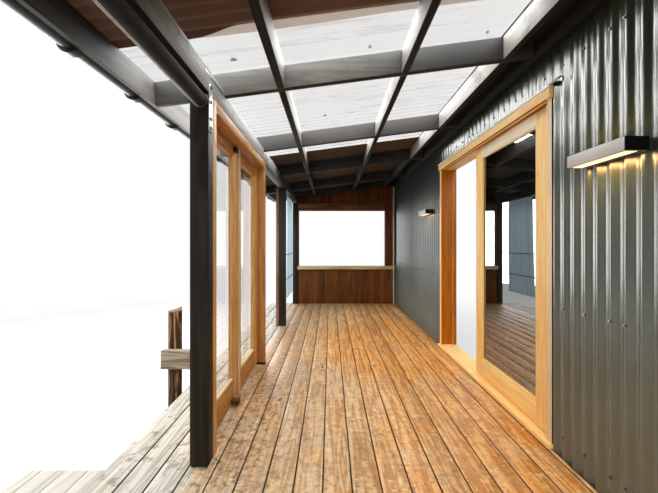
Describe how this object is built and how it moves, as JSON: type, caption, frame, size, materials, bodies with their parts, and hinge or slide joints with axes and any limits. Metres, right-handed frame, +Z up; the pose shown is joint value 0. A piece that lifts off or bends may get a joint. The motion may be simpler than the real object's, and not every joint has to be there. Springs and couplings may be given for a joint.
{
  "type": "covered verandah of a beach house",
  "caption": "Timber verandah on a corrugated house wall: raised deck, posts, lean-to roof, sliding glass door, glazed folding screen and a half-open end wall.",
  "frame": {"origin": "on the ground, under the middle of the verandah's bounding box", "axes": "+Y along the house wall away from the near end, +X across the deck towards the house wall, +Z up"},
  "size_m": [3.317, 8, 3.12],
  "materials": {
    "honey_decking": "worn oiled decking",
    "framing_timber": "rough sawn",
    "weathered_timber": "silvered by weather",
    "black_timber": "black stain",
    "grey_timber": "dark grey stain",
    "zinc_steel": "galvanised",
    "dark_steel": "satin",
    "brown_roofing": "dull brown underside",
    "clear_roofing": "clear corrugated sheet with dirt",
    "wall_lining": "flat paint",
    "charcoal_cladding": "semi-gloss charcoal",
    "cedar_joinery": "oiled cedar",
    "window_glass": "clear",
    "lamp_metal": "satin dark grey",
    "lamp_lens": "glowing lens",
    "red_brown_timber": "dark red-brown stain",
    "pale_timber": "pale worn sill",
    "blind_cloth": "dark mesh cloth",
    "black_steel": "black rail",
    "curtain_cloth": "thin pale blue cloth",
    "log_timber": "round weathered post"
  },
  "bodies": {
    "verandah": {"deck_boards": "honey_decking", "deck_joists": "framing_timber", "deck_bearers": "framing_timber", "deck_piles": "framing_timber", "deck_edge_board": "weathered_timber", "step_boards": "weathered_timber", "step_frame": "weathered_timber", "posts": "black_timber", "post_trim": "cedar_joinery", "post_strap": "zinc_steel", "eave_beam": "grey_timber", "rafters": "grey_timber", "purlins": "grey_timber", "wall_ledger": "black_timber", "fascia_board": "grey_timber", "gutter": "dark_steel", "roof_near": "brown_roofing", "roof_clear": "clear_roofing", "roof_far": "brown_roofing", "roof_apron": "dark_steel", "wall_near": "wall_lining", "wall_far": "wall_lining", "wall_over_door": "wall_lining", "wall_under_door": "wall_lining", "wall_cladding": "charcoal_cladding", "door_head": "cedar_joinery", "door_jambs": "cedar_joinery", "door_sill": "cedar_joinery", "door_flashing": "dark_steel", "fixed_leaf": "cedar_joinery", "fixed_glass": "window_glass", "wall_lamps": "lamp_metal", "lamp_lenses": "lamp_lens", "screen_frame": "cedar_joinery", "screen_leaves": "cedar_joinery", "screen_glass": "window_glass", "end_low_wall": "red_brown_timber", "end_ledge": "pale_timber", "end_studs": "red_brown_timber", "end_header": "red_brown_timber", "roller_blind": "blind_cloth", "bay_rails": "black_steel", "bay_curtain": "curtain_cloth", "corner_pipe": "zinc_steel", "edge_post": "log_timber", "edge_sleeper": "weathered_timber"},
    "door_leaf": {"sliding_leaf": "cedar_joinery", "sliding_glass": "window_glass"}
  },
  "joints": [
    {"name": "door_slide", "type": "slide", "parent": "verandah", "child": "door_leaf", "axis": [0, 1, 0], "range_m": [-0.052, 0.8]}
  ]
}
